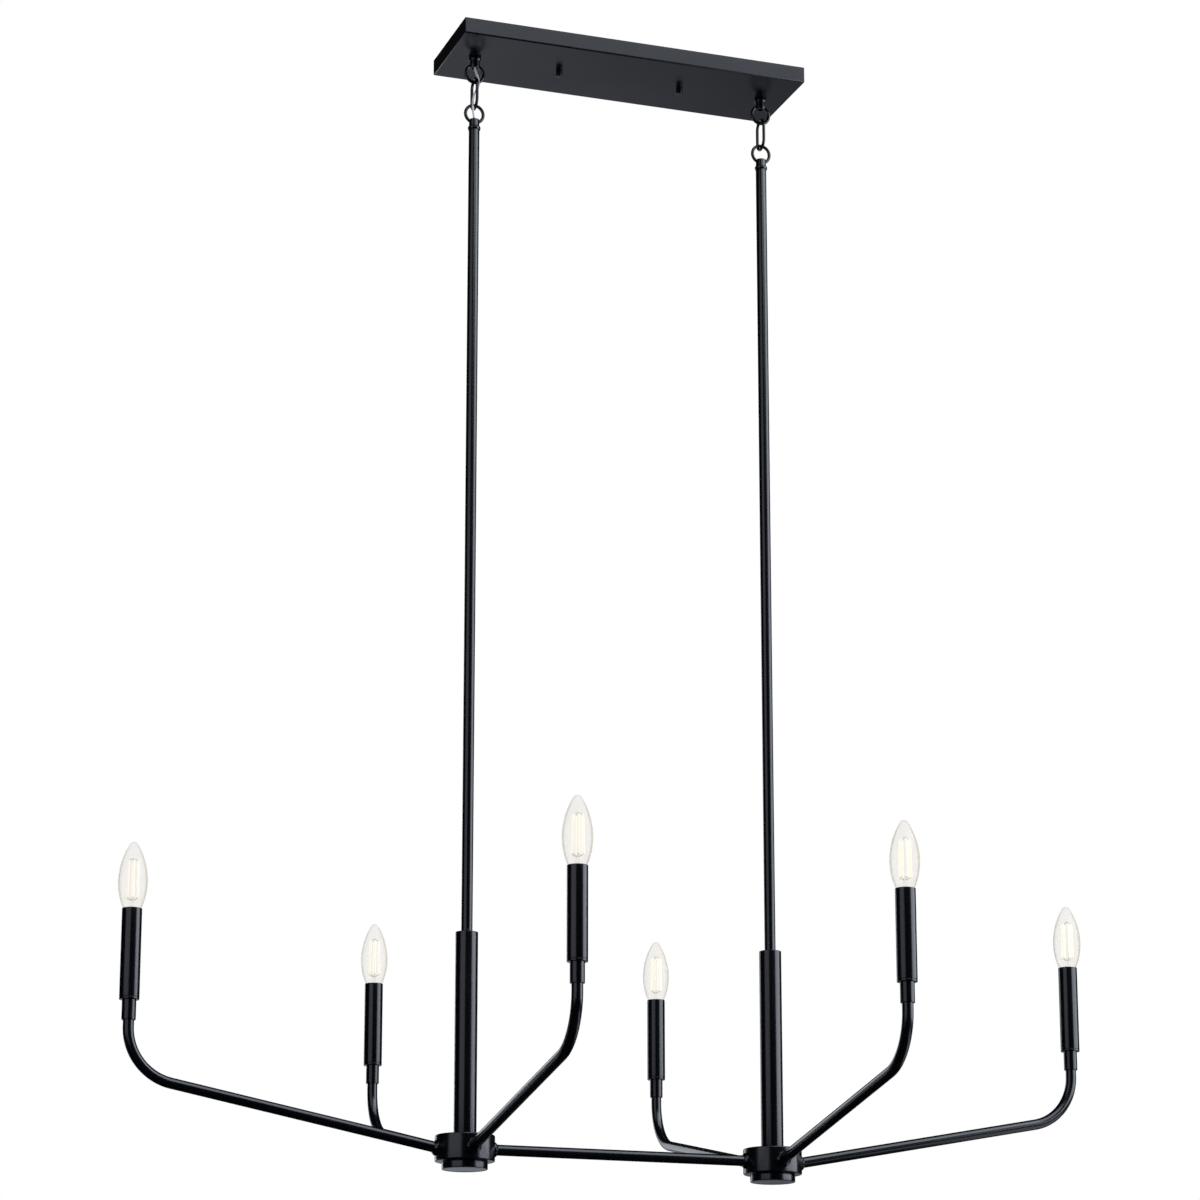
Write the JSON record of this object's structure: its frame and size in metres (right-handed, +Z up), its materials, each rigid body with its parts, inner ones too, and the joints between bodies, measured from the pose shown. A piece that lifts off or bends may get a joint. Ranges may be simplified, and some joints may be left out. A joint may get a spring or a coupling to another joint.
{
  "type": "linear island pendant",
  "caption": "Long candle-arm pendant: a rectangular ceiling canopy, stems on ring-and-link hangers, round hubs joined by a bar, and upswept arms with clear tapered bulbs.",
  "frame": {"origin": "middle of the canopy's ceiling face, where the mounting strap's middle meets the outlet box", "axes": "+Z up, away from the light and into the ceiling; +X along the canopy and the bar between the hubs; +Y across, with -Y the side that faces the picture"},
  "size_m": [1.1605, 0.7944, 1.3429],
  "materials": {
    "black_metal": "satin black paint",
    "zinc_steel": "zinc plated",
    "green_screw": "green plated",
    "clear_cord": "clear sheath over silver wires",
    "lead_sheath": "black sheath",
    "connector_plastic": "moulded",
    "socket_plastic": "moulded",
    "base_brass": "nickelled shell",
    "filament_glow": "phosphor coated strips on a glass stem",
    "clear_glass": "clear"
  },
  "bodies": {
    "ceiling": {"canopy": "black_metal", "mounting_strap": "zinc_steel", "ground_screw": "green_screw", "canopy_studs": "zinc_steel", "stud_nuts": "zinc_steel", "canopy_nuts": "black_metal", "ceiling_loop_left": "black_metal", "ceiling_loop_right": "black_metal", "loop_nuts": "zinc_steel", "canopy_cord": "clear_cord", "canopy_leads": "lead_sheath", "wire_connectors": "connector_plastic"},
    "links": {"chain_link_left": "black_metal", "chain_link_right": "black_metal", "cord_drop": "clear_cord"},
    "fixture": {"stem_loop_left": "black_metal", "stem_loop_right": "black_metal", "stem_left": "black_metal", "stem_right": "black_metal", "column_left": "black_metal", "column_right": "black_metal", "column_plugs": "zinc_steel", "centre_pipes": "zinc_steel", "pipe_nuts": "zinc_steel", "hub_left": "black_metal", "hub_right": "black_metal", "hub_cap_left": "black_metal", "hub_cap_right": "black_metal", "cross_bar": "black_metal", "tube_collars": "black_metal", "tube_nuts": "zinc_steel", "arm_left_end": "black_metal", "arm_left_front": "black_metal", "arm_left_back": "black_metal", "arm_right_end": "black_metal", "arm_right_front": "black_metal", "arm_right_back": "black_metal", "cup_left_end": "black_metal", "cup_left_front": "black_metal", "cup_left_back": "black_metal", "cup_right_end": "black_metal", "cup_right_front": "black_metal", "cup_right_back": "black_metal", "candle_sleeve_left_end": "black_metal", "candle_sleeve_left_front": "black_metal", "candle_sleeve_left_back": "black_metal", "candle_sleeve_right_end": "black_metal", "candle_sleeve_right_front": "black_metal", "candle_sleeve_right_back": "black_metal", "bulb_glass_left_end": "clear_glass", "bulb_glass_left_front": "clear_glass", "bulb_glass_left_back": "clear_glass", "bulb_glass_right_end": "clear_glass", "bulb_glass_right_front": "clear_glass", "bulb_glass_right_back": "clear_glass", "lampholders": "socket_plastic", "bulb_bases": "base_brass", "bulb_filaments": "filament_glow", "stem_cord": "clear_cord", "lamp_leads": "lead_sheath"}
  },
  "joints": [
    {"name": "link_swing", "type": "hinge", "parent": "ceiling", "child": "links", "pos_m": [0, 0, -0.0508], "axis": [1, 0, 0], "range_deg": [-20, 20], "deforming": ["cord_drop"]},
    {"name": "stem_swing", "type": "hinge", "parent": "links", "child": "fixture", "pos_m": [0, 0, -0.081], "axis": [1, 0, 0], "range_deg": [-20, 20]}
  ]
}
